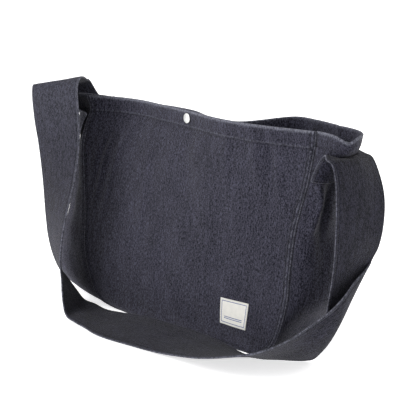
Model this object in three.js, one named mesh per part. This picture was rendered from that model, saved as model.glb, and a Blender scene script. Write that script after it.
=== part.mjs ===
// Newspaper delivery bag of dark denim, standing empty with its mouth snapped shut at the middle.
// Millimetres, +Z up, origin on the floor under the middle of the bag. +X runs along the front
// panel to its right end and -Y is the front. The wide strap is sewn outside both end walls, falls
// forward and lies round the front of the bag on the floor.
import * as THREE from 'three';

// Driving sizes
const panelWidth = 444;
const bagHeight = 319;
const baseDepth = 140;
const denimWall = 1.6;
const hemWidth = 20;
const hemWall = 2.8;
const seamGap = 0.45;
const strapWidth = 90;
const strapWall = 3;
const strapSewnLength = 38;
const strapSewnDrop = 28;
const sewnPlay = 1.8;
const snapDiameter = 15;
const snapCapHeight = 2.6;
const snapPlay = 0.5;
const snapDrop = 10;
const socketDiameter = 12;
const socketHeight = 1.6;
const studDiameter = 10;
const studHeight = 1.4;
const labelWidth = 50;
const labelHeight = 37;
const labelWall = 0.8;
const labelInset = 81;
const labelLift = 31.5;
const lipDrop = 8;

// How the cloth is shaped, in shares: the panels' belly, how early they turn towards the mouth, the end
// walls' fullness to the side and to the front, and where a fold sits across an end wall and how wide it is
const bellyShare = 0.07;
const mouthTurn = 2.2;
const endRoundness = 0.6;
const frontFullness = 2.2;
const pleatShare = { place: 0.14, spread: 0.08 };
const lipShare = { place: 0.3, spread: 0.14, drop: 0.05 };
const sewnEdgeShare = 1 / 6;
const creaseShare = { left: 0.15, right: 0.4 };
const fullnessStep = 0.02;

// Sizes that follow from them
const halfWidth = panelWidth / 2;
const halfDepth = baseDepth / 2;
const hemStart = 1 - hemWidth / bagHeight;
const snapStack = 2 * hemWall + socketHeight + studHeight + 3 * snapPlay;

// Colours of the cloth and the metal
const denim = new THREE.MeshStandardMaterial({ color: 0x3b3d49, roughness: 0.92, metalness: 0 });
const denimEnd = new THREE.MeshStandardMaterial({ color: 0x33343f, roughness: 0.92, metalness: 0 });
const strapDenim = new THREE.MeshStandardMaterial({ color: 0x484b58, roughness: 0.9, metalness: 0 });
const snapMetal = new THREE.MeshStandardMaterial({ color: 0xc9c9cc, roughness: 0.3, metalness: 0.9 });
const labelCloth = new THREE.MeshStandardMaterial({ color: 0xe8e6e0, roughness: 0.85, metalness: 0 });

// A table's rows as objects, each number under its column's name
function table(columns, rows) {
  const names = columns.split(' ');
  return rows.map((row) => Object.fromEntries(names.map((name, k) => [name, row[k]])));
}

// The two ends of the bag, from the floor up. Heights are shares of the bag's height, reaches are
// shares of half the panel's width, and the rest are shares of half the base's depth.
const sideColumns = 'height reach backReach front back bulge forward tuck';
const rightEnd = table(sideColumns, [
  [0, 0.68, 0.68, -1.03, 1, 0, 0, 0],
  [0.012, 0.745, 0.74, -1.035, 1, 0.03, 0, 0],
  [0.056, 0.856, 0.85, -1, 0.99, 0.06, 0, 0],
  [0.14, 0.905, 0.9, -0.94, 0.96, 0.14, 0, 0],
  [0.266, 0.928, 0.925, -0.83, 0.91, 0.46, 0.06, 0],
  [0.408, 0.919, 0.92, -0.715, 0.86, 0.48, 0.09, 0],
  [0.58, 0.923, 0.925, -0.57, 0.79, 0.37, 0.11, 0],
  [0.752, 0.968, 0.965, -0.44, 0.71, 0.34, 0.14, 0],
  [0.862, 0.99, 0.98, -0.37, 0.66, 0.5, 0.18, 0],
  [hemStart, 0.995, 0.98, -0.3, 0.57, 0.82, 0.23, 0],
  [1, 1, 0.97, -0.3, 0.57, 0.94, 0.26, 0],
]);
const leftEnd = table(sideColumns, [
  [0, 0.41, 0.6, -0.83, 0.95, 0, 0, 0],
  [0.014, 0.66, 0.78, -0.835, 0.93, 0.75, 0.05, 0],
  [0.05, 0.79, 0.9, -0.84, 0.86, 1.2, 0.14, 0],
  [0.14, 0.86, 1, -0.84, 0.76, 1.34, 0.2, 0],
  [0.266, 0.923, 1.04, -0.8, 0.69, 1.02, 0.17, 0],
  [0.408, 0.946, 1, -0.7, 0.69, 0.92, 0.11, 0.09],
  [0.58, 0.986, 1, -0.586, 0.66, 0.68, 0.06, 0.22],
  [0.752, 1.03, 1.03, -0.47, 0.6, 0.5, 0, 0.1],
  [0.862, 1.005, 1, -0.4, 0.54, 0.5, 0, 0],
  [hemStart, 0.986, 0.99, -0.3, 0.46, 0.54, 0.03, 0],
  [1, 1.018, 1, -0.3, 0.46, 0.58, 0.06, 0],
]);

// The mouth at even steps from the left seam to the right one: how far the front rim stands behind
// the line between the seams (share of half the depth), how far the back rim stands behind the front
// one (share of the depth) and how far it droops (share of the height). The snap holds them together
// at the middle row.
const mouth = table('front gap droop', [
  [0, 0.38, 0.024],
  [0.26, 0.17, 0.022],
  [0.33, 0.085, 0.014],
  [0.24, 0.075, 0.008],
  [0.13, 0.075, 0.002],
  [0, snapStack / baseDepth, 0],
  [-0.16, 0.085, 0.012],
  [-0.23, 0.2, 0.014],
  [-0.21, 0.6, 0],
  [-0.11, 0.57, 0],
  [0, 0.435, 0],
]);

// The strap from the right end wall to the left one. Each row is one place along it: its front
// edge (share of half the width, share of half the depth, share of the height) and the way across
// to its rear edge, as shares of the strap's width.
const strapColumns = 'along out lift acrossX acrossY acrossZ bow';
const strapRun = table(strapColumns, [
  [1.175, -0.66, 0.903, 0, 0.98, -0.05, 0.1],
  [1.21, -0.68, 0.897, 0.03, 0.98, -0.05, 0.07],
  [1.245, -0.7, 0.85, 0.07, 0.98, -0.05, 0.04],
  [1.262, -0.7, 0.73, 0.165, 0.98, -0.02, 0.01],
  [1.262, -0.7, 0.58, 0.172, 0.97, 0.04, 0],
  [1.245, -0.69, 0.42, 0.14, 0.95, 0.26, 0],
  [1.22, -0.69, 0.31, 0.18, 0.88, 0.53, 0.01],
  [1.19, -0.67, 0.2, 0.26, 0.76, 0.82, 0.03],
  [1.155, -0.62, 0.105, 0.38, 0.54, 1.08, 0.05],
  [1.115, -0.56, 0.04, 0.49, 0.24, 1.21, 0.08],
  [1.073, -0.55, 0.008, 0.58, -0.03, 1.13, 0.12],
  [1.03, -0.64, 0, 0.62, -0.2, 0.98, 0.14],
  [0.978, -0.78, 0, 0.61, -0.36, 0.8, 0.12],
  [0.9, -0.93, 0, 0.59, -0.53, 0.58, 0.07],
  [0.81, -1.12, 0, 0.53, -0.74, 0.42, 0.02],
  [0.7, -1.22, 0.004, 0.37, -0.92, 0.3, 0],
  [0.58, -1.18, 0.012, 0.2, -1.01, 0.16, 0],
  [0.44, -1.1, 0.02, 0.07, -1.01, 0.03, 0],
  [0.27, -1.05, 0.025, 0, -1.01, -0.06, 0],
  [0, -1.02, 0.025, 0.04, -1.04, -0.08, 0],
  [-0.27, -0.98, 0.018, 0.12, -1.08, -0.06, 0],
  [-0.48, -1.02, 0.006, 0.36, -1.02, -0.01, 0],
  [-0.61, -1.07, 0.004, 0.42, -0.9, 0, 0],
  [-0.74, -1.01, 0.01, 0.45, -0.9, 0, 0],
  [-0.88, -0.94, 0.011, 0.5, -0.88, 0.035, 0],
  [-0.975, -0.9, 0.045, 0.56, -0.82, 0.16, 0],
  [-1.04, -0.97, 0.1, 0.66, -0.72, 0.23, 0],
  [-1.075, -1.07, 0.145, 0.7, -0.62, 0.32, 0],
  [-1.125, -1.12, 0.215, 0.79, -0.55, 0.25, 0],
  [-1.15, -1.18, 0.31, 0.87, -0.47, 0.19, 0],
  [-1.153, -1.23, 0.415, 0.91, -0.36, 0.2, 0],
  [-1.158, -1.28, 0.61, 0.98, -0.17, 0.08, 0],
  [-1.185, -1.3, 0.775, 1, 0.02, 0.05, 0],
  [-1.22, -1.3, 0.89, 0.98, 0.13, 0.15, 0],
  [-1.238, -1.3, 1.015, 0.96, 0.17, 0.18, 0],
  [-1.245, -1.26, 1.052, 0.92, 0.25, 0.19, 0],
  [-1.265, -1.17, 1.05, 0.8, 0.43, 0.18, 0],
  [-1.288, -1.05, 1.022, 0.57, 0.68, 0.17, -0.03],
  [-1.275, -0.88, 1.01, 0.24, 0.9, 0.11, -0.07],
  [-1.23, -0.74, 0.965, 0.12, 0.98, 0.02, -0.08],
]);

// A smooth curve through a table's column, read at t from 0 to 1
function read(rows, column, t) {
  const place = Math.min(Math.max(t, 0), 1) * (rows.length - 1);
  const k = Math.min(Math.floor(place), rows.length - 2);
  const f = place - k;
  const p1 = rows[k][column];
  const p2 = rows[k + 1][column];
  const p0 = k > 0 ? rows[k - 1][column] : 2 * p1 - p2;
  const p3 = k + 2 < rows.length ? rows[k + 2][column] : 2 * p2 - p1;
  const cubic = 2 * p1 + (p2 - p0) * f + (2 * p0 - 5 * p1 + 4 * p2 - p3) * f * f;
  return (cubic + (3 * p1 - p0 - 3 * p2 + p3) * f * f * f) / 2;
}

const mix = (a, b, t) => a + (b - a) * t;

// A panel's outside at u across from the left seam and v up from the floor
function panelPoint(face, u, v) {
  const isFront = face === 'front';
  const reach = isFront ? 'reach' : 'backReach';
  const left = -read(leftEnd, reach, v) * halfWidth;
  const right = read(rightEnd, reach, v) * halfWidth;
  const seamDepth = (column, place) => mix(read(leftEnd, column, place), read(rightEnd, column, place), u);
  const height = mix(read(leftEnd, 'height', v), read(rightEnd, 'height', v), u);
  const frontOff = read(mouth, 'front', u);
  const backOff = seamDepth('front', 1) + frontOff + 2 * read(mouth, 'gap', u) - seamDepth('back', 1);
  const mouthShare = Math.min(1, Math.max(0, height) / hemStart) ** mouthTurn;
  const outward = (isFront ? -bellyShare : bellyShare) * Math.sin(Math.PI * u) * Math.sin(Math.PI * height);
  const depth = seamDepth(face, v) + (isFront ? frontOff : backOff) * mouthShare + outward;
  const droop = isFront ? 0 : read(mouth, 'droop', u) * mouthShare;
  return new THREE.Vector3(mix(left, right, u), depth * halfDepth, (height - droop) * bagHeight);
}

// The way out of a surface at (a, b), from its slopes there
function slopeNormal(surface, a, b) {
  const step = 0.004;
  const low = (x) => Math.max(0, x - step);
  const high = (x) => Math.min(1, x + step);
  const alongA = surface(high(a), b).sub(surface(low(a), b));
  const alongB = surface(a, high(b)).sub(surface(a, low(b)));
  return alongA.cross(alongB).normalize();
}

// The rows of both end tables: the last is the rim, the one before it the foot of the hem
const hemRow = 1 - 1 / (rightEnd.length - 1);
const hemEdgeShare = 0.002;
const wallOf = (v) => (v > hemRow ? hemWall : denimWall);

const frontSurface = (u, v) => panelPoint('front', u, v);
const backSurface = (u, v) => panelPoint('back', u, v);
const frontNormal = (u, v) => slopeNormal(frontSurface, u, v);
const backNormal = (u, v) => slopeNormal(backSurface, u, v).negate();

// The two seams, a lap of cloth inside the panels, where the end walls and the base are sewn in. On
// the floor the lap is level, so that the base lies flat.
function seamLine(u, v, t) {
  const lap = wallOf(v + hemEdgeShare) + seamGap;
  const levelWay = (way) => way.setZ(0).divideScalar(way.lengthSq());
  const lapWay = (way) => (v > 0 ? way : levelWay(way));
  const front = frontSurface(u, v).addScaledVector(lapWay(frontNormal(u, v)), -lap);
  const back = backSurface(u, v).addScaledVector(lapWay(backNormal(u, v)), -lap);
  return front.lerp(back, t);
}

// How much of a fold is left at t, a soft bell round the fold's own place
const foldAt = (t, fold) => Math.exp(-(((t - fold.place) / fold.spread) ** 2));

// How full each end wall is beside what its table says: fuller where the strap's end needs the width
const endFullness = { left: 1, right: 1 };
const sideOf = (sign) => (sign > 0 ? 'right' : 'left');
const rowsAt = (sign) => (sign > 0 ? rightEnd : leftEnd);

// An end wall's outside at t from the front seam to the back one and v up from the floor
function endPoint(sign, t, v) {
  const rows = rowsAt(sign);
  const point = seamLine(sign > 0 ? 1 : 0, v, t);
  const free = Math.min(1, t / sewnEdgeShare, (1 - t) / sewnEdgeShare);
  const arch = Math.max(0, Math.sin(Math.PI * t)) ** endRoundness;
  const frontArch = frontFullness * Math.sin(Math.PI * t) * (1 - t) ** 1.5;
  const pleat = free * foldAt(t, pleatShare);
  const lip = free * foldAt(t, lipShare);
  const nearRim = THREE.MathUtils.smoothstep(read(rows, 'height', v), hemStart - lipShare.drop, 1);
  const bulge = read(rows, 'bulge', v) * endFullness[sideOf(sign)] * arch;
  point.x += sign * halfDepth * (bulge - read(rows, 'tuck', v) * pleat);
  point.y -= halfDepth * read(rows, 'forward', v) * frontArch;
  point.z -= sign > 0 ? lipDrop * lip * nearRim : 0;
  return point;
}

// The place up a table, from 0 to 1, where its height column reaches a height
function placeAtHeight(rows, height) {
  let low = 0;
  let high = 1;
  for (let k = 0; k < 40; k += 1) {
    const middle = (low + high) / 2;
    if (read(rows, 'height', middle) * bagHeight < height) low = middle;
    else high = middle;
  }
  return low;
}

// A grid's outward ways from its neighbours' slopes; the grid runs so that rows x columns face out
function gridNormals(grid) {
  const last = grid.length - 1;
  const side = grid[0].length - 1;
  return grid.map((row, i) => row.map((_, j) => {
    const alongRow = grid[i][Math.min(j + 1, side)].clone().sub(grid[i][Math.max(j - 1, 0)]);
    const alongGrid = grid[Math.min(i + 1, last)][j].clone().sub(grid[Math.max(i - 1, 0)][j]);
    return alongRow.cross(alongGrid).normalize();
  }));
}

// A closed sheet from its outside and inside grids of points
function closedSheet(outside, inside) {
  const rows = outside.length;
  const columns = outside[0].length;
  const points = [...outside.flat(), ...inside.flat()];
  const index = [];
  const at = (layer, i, j) => layer * rows * columns + i * columns + j;
  const quad = (a, b, c, d) => index.push(a, b, c, a, c, d);
  for (let i = 0; i + 1 < rows; i += 1) {
    for (let j = 0; j + 1 < columns; j += 1) {
      quad(at(0, i, j), at(0, i, j + 1), at(0, i + 1, j + 1), at(0, i + 1, j));
      quad(at(1, i, j), at(1, i + 1, j), at(1, i + 1, j + 1), at(1, i, j + 1));
    }
  }
  const end = rows - 1;
  const side = columns - 1;
  for (let j = 0; j < side; j += 1) {
    quad(at(0, 0, j), at(1, 0, j), at(1, 0, j + 1), at(0, 0, j + 1));
    quad(at(0, end, j + 1), at(1, end, j + 1), at(1, end, j), at(0, end, j));
  }
  for (let i = 0; i < end; i += 1) {
    quad(at(0, i + 1, 0), at(1, i + 1, 0), at(1, i, 0), at(0, i, 0));
    quad(at(0, i, side), at(1, i, side), at(1, i + 1, side), at(0, i + 1, side));
  }
  const geometry = new THREE.BufferGeometry().setFromPoints(points);
  geometry.setIndex(index);
  geometry.computeVertexNormals();
  return geometry;
}

// A point kept on or above the floor
function aboveFloor(point) {
  point.z = Math.max(point.z, 0);
  return point;
}

// A sheet under a grid of outside points, with the wall given for each row
function sheetUnder(grid, normals, wallOfRow) {
  const inward = (point, i, j) => point.clone().addScaledVector(normals[i][j], -wallOfRow(i));
  const inside = grid.map((row, i) => row.map((point, j) => aboveFloor(inward(point, i, j))));
  return closedSheet(grid.map((row) => row.map((point) => aboveFloor(point))), inside);
}

// At the two seams a wall lies against the panels, so its way out there keeps to their plane
function squareToPanels(normals, panelWays) {
  normals.forEach((row, i) => {
    [[0, panelWays[i].front], [row.length - 1, panelWays[i].back]].forEach(([j, way]) => {
      row[j].addScaledVector(way, -row[j].dot(way)).normalize();
    });
  });
  return normals;
}

const steps = (count, from = 0, to = 1) => (
  Array.from({ length: count + 1 }, (_, k) => mix(from, to, k / count)));

// The heights where the strap is sewn on, and an end wall's length from seam to seam at such a height
const sewnTop = bagHeight - strapSewnDrop;
const sewnHeights = steps(4).map((share) => sewnTop - share * strapSewnLength);
const wallPlaces = steps(120);

function wallLengths(sign, v) {
  const points = wallPlaces.map((t) => endPoint(sign, t, v));
  const lengths = [0];
  points.slice(1).forEach((point, k) => lengths.push(lengths[k] + point.distanceTo(points[k])));
  return { points, lengths };
}

[1, -1].forEach((sign) => {
  const places = sewnHeights.map((height) => placeAtHeight(rowsAt(sign), height));
  const narrowest = () => Math.min(...places.map((v) => wallLengths(sign, v).lengths.at(-1)));
  while (narrowest() < strapWidth + seamGap) endFullness[sideOf(sign)] += fullnessStep;
});

const bag = new THREE.Group();

function addPiece(name, geometry, material) {
  const mesh = new THREE.Mesh(geometry, material);
  mesh.name = name;
  bag.add(mesh);
  return mesh;
}

// The rows up every wall: the same even steps to the foot of the hem, then the thicker hem itself
const stepsUp = 18;
const upTheWall = (from) => {
  const start = Math.round((from / hemRow) * stepsUp);
  return [from, ...steps(stepsUp, 0, hemRow).slice(start + 1), hemRow + hemEdgeShare, 1];
};
const wallAt = (places) => (i) => wallOf(places[i]);

// Front panel and back panel, each one sheet with its hem turned in
const panelRows = upTheWall(0);
const panelColumns = steps(14);
const frontGrid = panelRows.map((v) => panelColumns.map((u) => frontSurface(u, v)));
const backGrid = panelRows.map((v) => panelColumns.map((u) => backSurface(1 - u, v)));
addPiece('front_panel', sheetUnder(frontGrid, gridNormals(frontGrid), wallAt(panelRows)), denim);
addPiece('back_panel', sheetUnder(backGrid, gridNormals(backGrid), wallAt(panelRows)), denim);

// One band of rows runs from the left rim down, across the floor and up to the right rim. It is cut
// at a crease above each bottom corner into the left end wall, the base and the right end wall.
const bandColumns = steps(12);

function creaseSides(sign) {
  const crease = creaseShare[sideOf(sign)];
  const probe = 0.01;
  const rate = endPoint(sign, 0.5, crease + probe).distanceTo(endPoint(sign, 0.5, crease)) / probe;
  return { above: crease + seamGap / rate, below: crease - seamGap / rate };
}

const rowsOf = (sign, places) => places.map((v) => ({ sign, u: sign > 0 ? 1 : 0, v }));
const endRows = (sign) => rowsOf(sign, upTheWall(creaseSides(sign).above));
const cornerRows = (sign) => {
  const crease = creaseShare[sideOf(sign)];
  const inner = steps(stepsUp, 0, hemRow).filter((v) => v > 0 && v < crease - hemEdgeShare);
  return rowsOf(sign, [...inner, creaseSides(sign).below]);
};
const floorRows = panelColumns.map((u) => ({ sign: 0, u, v: 0 }));
const band = [
  ...endRows(-1).reverse(),
  ...cornerRows(-1).reverse(),
  ...floorRows,
  ...cornerRows(1),
  ...endRows(1),
];
const bandPoint = ({ sign, u, v }, t) => (sign === 0 ? seamLine(u, v, t) : endPoint(sign, t, v));
const bandGrid = band.map((place) => bandColumns.map((t) => bandPoint(place, t)));
const bandWays = band.map(({ u, v }) => ({ front: frontNormal(u, v), back: backNormal(u, v) }));
const leftRows = endRows(-1).length;
const rightRows = endRows(1).length;
const bandNormals = gridNormals(bandGrid);
[leftRows, band.length - rightRows].forEach((cut) => {
  bandNormals[cut].forEach((way, j) => {
    way.add(bandNormals[cut - 1][j]).normalize();
    bandNormals[cut - 1][j].copy(way);
  });
});
squareToPanels(bandNormals, bandWays);

function bandPiece(name, from, to) {
  const wall = (i) => wallOf(band[from + i].v);
  addPiece(name, sheetUnder(bandGrid.slice(from, to), bandNormals.slice(from, to), wall), denimEnd);
}
bandPiece('gusset_left', 0, leftRows);
bandPiece('base_panel', leftRows, band.length - rightRows);
bandPiece('gusset_right', band.length - rightRows, band.length);

// The strap: sewn flat on the outside of each end wall, with the run of the table between
const strapColumnsAcross = 8;
const strapSteps = 2;

function sewnRow(sign, height) {
  const v = placeAtHeight(rowsAt(sign), height);
  const { points, lengths } = wallLengths(sign, v);
  const start = (lengths.at(-1) - strapWidth) / 2;
  const centre = sewnPlay + strapWall / 2;
  return steps(strapColumnsAcross).map((share) => {
    const wanted = start + share * strapWidth;
    const k = Math.min(lengths.findIndex((length) => length >= wanted), points.length - 2);
    const way = slopeNormal((a, b) => endPoint(sign, a, b), wallPlaces[k], v).multiplyScalar(sign);
    return points[k].clone().addScaledVector(way, centre);
  });
}

function freeRow(row) {
  const height = row.lift * bagHeight + strapWall / 2;
  const front = new THREE.Vector3(row.along * halfWidth, row.out * halfDepth, height);
  const across = new THREE.Vector3(row.acrossX, row.acrossY, row.acrossZ).multiplyScalar(strapWidth);
  const steep = across.z / across.length();
  const side = across.clone().cross(new THREE.Vector3(0, -steep, Math.sqrt(1 - steep * steep)));
  return steps(strapColumnsAcross).map((share) => {
    const bow = row.bow * Math.sin(Math.PI * share);
    return front.clone().addScaledVector(across, share).addScaledVector(side, bow);
  });
}

const stations = [
  ...[...sewnHeights].reverse().map((height) => sewnRow(1, height)),
  ...strapRun.map(freeRow),
  ...sewnHeights.map((height) => sewnRow(-1, height)),
];

// Each thread along the strap is a smooth curve through its stations
const threads = steps(strapColumnsAcross).map((_, j) => {
  const curve = new THREE.CatmullRomCurve3(stations.map((row) => row[j]), false, 'centripetal');
  return steps((stations.length - 1) * strapSteps).map((t) => curve.getPoint(t));
});
const strapMiddle = threads[0].map((_, i) => threads.map((thread) => thread[i]));
const strapWays = gridNormals(strapMiddle);
const strapFace = (half) => strapMiddle.map((row, i) => row.map((point, j) => (
  aboveFloor(point.clone().addScaledVector(strapWays[i][j], half * strapWall / 2)))));
addPiece('strap', closedSheet(strapFace(1), strapFace(-1)), strapDenim);

// The snap near the middle of the mouth: its cap and socket on the front hem, its stud and the stud's
// cap on the back one. Each is seated on the flat stretch of hem between two of the panel's columns.
const snapColumn = Math.floor(panelColumns.length / 2) - 1;
function hemSeat(surface, sign) {
  const [left, right] = [panelColumns[snapColumn], panelColumns[snapColumn + 1]];
  const middle = (v) => surface(left, v).lerp(surface(right, v), 0.5);
  const rim = middle(1);
  const foot = middle(hemRow + hemEdgeShare);
  const along = surface(right, 1).sub(surface(left, 1));
  const way = along.cross(rim.clone().sub(foot)).normalize().multiplyScalar(sign);
  return { point: rim.lerp(foot, snapDrop / hemWidth), way };
}

function disc(name, diameter, height, seat, off) {
  const mesh = addPiece(name, new THREE.CylinderGeometry(diameter / 2, diameter / 2, height, 24), snapMetal);
  mesh.quaternion.setFromUnitVectors(new THREE.Vector3(0, 1, 0), seat.way);
  mesh.position.copy(seat.point).addScaledVector(seat.way, off + height / 2);
}
const frontSeat = hemSeat(frontSurface, 1);
const backSeat = hemSeat(backSurface, -1);
disc('snap_cap', snapDiameter, snapCapHeight, frontSeat, snapPlay);
disc('snap_socket', socketDiameter, socketHeight, frontSeat, -hemWall - snapPlay - socketHeight);
disc('snap_stud', studDiameter, studHeight, backSeat, -hemWall - snapPlay - studHeight);
disc('snap_post', snapDiameter, snapCapHeight, backSeat, snapPlay);

// The label, flat on the lower right of the front panel
const labelRight = halfWidth - labelInset;
function labelPoint(x, z) {
  const v = placeAtHeight(rightEnd, z);
  const left = frontSurface(0, v).x;
  const right = frontSurface(1, v).x;
  const u = (x - left) / (right - left);
  return { point: frontSurface(u, v), way: frontNormal(u, v) };
}
const labelFace = (off) => steps(4, labelLift, labelLift + labelHeight).map((z) => (
  steps(5, labelRight - labelWidth, labelRight).map((x) => {
    const { point, way } = labelPoint(x, z);
    return point.addScaledVector(way, off);
  })));
addPiece('label', closedSheet(labelFace(snapPlay + labelWall), labelFace(snapPlay)), labelCloth);

export default bag;
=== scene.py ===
import bpy
import numpy as np
from mathutils import Matrix, Vector


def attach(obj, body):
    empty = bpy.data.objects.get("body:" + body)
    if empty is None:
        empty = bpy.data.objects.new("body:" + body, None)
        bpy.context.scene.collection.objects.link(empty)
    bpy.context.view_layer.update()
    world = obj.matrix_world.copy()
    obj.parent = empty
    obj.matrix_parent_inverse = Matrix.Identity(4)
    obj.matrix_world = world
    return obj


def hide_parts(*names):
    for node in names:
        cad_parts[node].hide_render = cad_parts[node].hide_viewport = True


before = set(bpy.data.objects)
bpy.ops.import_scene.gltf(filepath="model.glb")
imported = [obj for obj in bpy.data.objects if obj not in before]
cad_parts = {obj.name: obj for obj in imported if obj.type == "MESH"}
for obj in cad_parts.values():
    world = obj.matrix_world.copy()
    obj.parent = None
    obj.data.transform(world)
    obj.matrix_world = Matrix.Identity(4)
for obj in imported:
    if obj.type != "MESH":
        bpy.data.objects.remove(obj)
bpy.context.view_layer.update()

# Camera and room
# A long lens looks down a little at the bag's front and right end. The bag stands on a plain pale
# floor in soft daylight, brighter from the upper left than from the right.
camera_place = Vector((1.3685, -1.5113, 0.6814))
camera_right = Vector((0.7431, 0.6691, 0.0))
camera_up = Vector((-0.1619, 0.1798, 0.9703))
camera_back = camera_right.cross(camera_up).normalized()
lens_length = 122.28
sensor_side = 36.0

camera_data = bpy.data.cameras.new("photo_camera")
camera_data.lens = lens_length
camera_data.sensor_width = sensor_side
camera_data.clip_end = 100.0
camera = bpy.data.objects.new("photo_camera", camera_data)
camera_turn = Matrix((camera_right, camera_up, camera_back)).transposed()
camera.matrix_world = Matrix.Translation(camera_place) @ camera_turn.to_4x4()
bpy.context.collection.objects.link(camera)
bpy.context.scene.camera = camera
bpy.context.scene.view_settings.view_transform = "Standard"


def set_sockets(node, sockets):
    """Values or joins for a node's sockets, by name or by place, where i0 is the first."""
    for key, value in sockets.items():
        by_place = key[0] == "i" and key[1:].isdigit()
        socket = node.inputs[int(key[1:])] if by_place else node.inputs[key]
        if isinstance(value, bpy.types.NodeSocket):
            node.id_data.links.new(value, socket)
        else:
            socket.default_value = value


def add_node(tree, kind, settings=None, **sockets):
    node = tree.nodes.new(kind)
    for key, value in (settings or {}).items():
        setattr(node, key, value)
    set_sockets(node, sockets)
    return node


def maths(operation, *values):
    """One sum on numbers and sockets, in the node tree that the sockets belong to."""
    tree = next(value.id_data for value in values if isinstance(value, bpy.types.NodeSocket))
    numbered = {f"i{place}": value for place, value in enumerate(values)}
    return add_node(tree, "ShaderNodeMath", {"operation": operation}, **numbered).outputs[0]


room_light = 0.34
window_light = 2.0
window_sharpness = 3.0
window_way = Vector((-0.42, -0.85, 0.2)).normalized()
world = bpy.data.worlds.new("white_room")
world.use_nodes = True
room = world.node_tree
looking = add_node(room, "ShaderNodeTexCoord").outputs["Generated"]
toward = add_node(room, "ShaderNodeVectorMath", {"operation": "DOT_PRODUCT"}, i0=looking, i1=window_way)
window = maths("POWER", maths("MAXIMUM", toward.outputs["Value"], 0.0), window_sharpness)
set_sockets(room.nodes["Background"], {
    "Color": (1.0, 1.0, 1.0, 1.0),
    "Strength": maths("MULTIPLY_ADD", window, window_light, room_light)})
bpy.context.scene.world = world

sky_light = bpy.data.lights.new("sky_light", "SUN")
sky_light.energy = 0.2
sky_light.angle = 0.9
sky_holder = bpy.data.objects.new("sky_light", sky_light)
bpy.context.collection.objects.link(sky_holder)


def soft_box(name, place, target, side, power):
    """A square lamp with an even face, turned from its place towards a target."""
    light = bpy.data.lights.new(name, "AREA")
    light.shape = "SQUARE"
    light.size = side
    light.energy = power
    holder = bpy.data.objects.new(name, light)
    holder.location = place
    holder.rotation_euler = (Vector(target) - holder.location).to_track_quat("-Z", "Y").to_euler()
    bpy.context.collection.objects.link(holder)


soft_box("front_box", (-0.55, -0.95, 0.95), target=(0.0, 0.0, 0.28), side=0.7, power=6.0)
soft_box("back_box", (0.5, 2.4, 1.1), target=(0.0, 0.0, 0.15), side=1.4, power=34.0)

floor_side = 60.0
floor_drop = 0.0002
floor_white = (0.93, 0.93, 0.93, 1.0)
bpy.ops.mesh.primitive_plane_add(size=floor_side, location=(0.0, 0.0, -floor_drop))
floor = bpy.context.active_object
floor.name = "pale_floor"
floor_paint = bpy.data.materials.new("pale_floor_paint")
floor_paint.use_nodes = True
set_sockets(floor_paint.node_tree.nodes["Principled BSDF"], {
    "Base Color": floor_white, "Roughness": 0.9,
    "Emission Color": floor_white, "Emission Strength": 0.72})
floor.data.materials.append(floor_paint)

# Front panel
# The big front of the bag is one sheet of raw indigo denim, dark warp outside and pale weft inside.
# Its top is turned in as a 20 mm hem, and its sides and foot are lapped and sewn over the end walls.
panel_width = 0.444
bag_height = 0.319
base_depth = 0.140
denim_wall = 0.0016
hem_width = 0.020
hem_wall = 0.0028
half_width = panel_width / 2
half_depth = base_depth / 2
hem_start = 1 - hem_width / bag_height
hem_row = 0.9
full_turn = 2 * np.pi


def table(columns, rows):
    """Named columns of numbers, each a row of knots for a smooth curve."""
    return dict(zip(columns.split(), np.array(rows, float).T))


# The bag's two ends from the floor up: heights as shares of the bag's height, reaches of half the
# panel's width, and the rest of half the base's depth
end_columns = "height reach back_reach front back bulge forward tuck"
right_end = table(end_columns, [
    [0, 0.68, 0.68, -1.03, 1, 0, 0, 0],
    [0.012, 0.745, 0.74, -1.035, 1, 0.03, 0, 0],
    [0.056, 0.856, 0.85, -1, 0.99, 0.06, 0, 0],
    [0.14, 0.905, 0.9, -0.94, 0.96, 0.14, 0, 0],
    [0.266, 0.928, 0.925, -0.83, 0.91, 0.46, 0.06, 0],
    [0.408, 0.919, 0.92, -0.715, 0.86, 0.48, 0.09, 0],
    [0.58, 0.923, 0.925, -0.57, 0.79, 0.37, 0.11, 0],
    [0.752, 0.968, 0.965, -0.44, 0.71, 0.34, 0.14, 0],
    [0.862, 0.99, 0.98, -0.37, 0.66, 0.5, 0.18, 0],
    [hem_start, 0.995, 0.98, -0.3, 0.57, 0.82, 0.23, 0],
    [1, 1, 0.97, -0.3, 0.57, 0.94, 0.26, 0],
])
left_end = table(end_columns, [
    [0, 0.41, 0.6, -0.83, 0.95, 0, 0, 0],
    [0.014, 0.66, 0.78, -0.835, 0.93, 0.75, 0.05, 0],
    [0.05, 0.79, 0.9, -0.84, 0.86, 1.2, 0.14, 0],
    [0.14, 0.86, 1, -0.84, 0.76, 1.34, 0.2, 0],
    [0.266, 0.923, 1.04, -0.8, 0.69, 1.02, 0.17, 0],
    [0.408, 0.946, 1, -0.7, 0.69, 0.92, 0.11, 0.09],
    [0.58, 0.986, 1, -0.586, 0.66, 0.68, 0.06, 0.22],
    [0.752, 1.03, 1.03, -0.47, 0.6, 0.5, 0, 0.1],
    [0.862, 1.005, 1, -0.4, 0.54, 0.5, 0, 0],
    [hem_start, 0.986, 0.99, -0.3, 0.46, 0.54, 0.03, 0],
    [1, 1.018, 1, -0.3, 0.46, 0.58, 0.06, 0],
])
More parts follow.
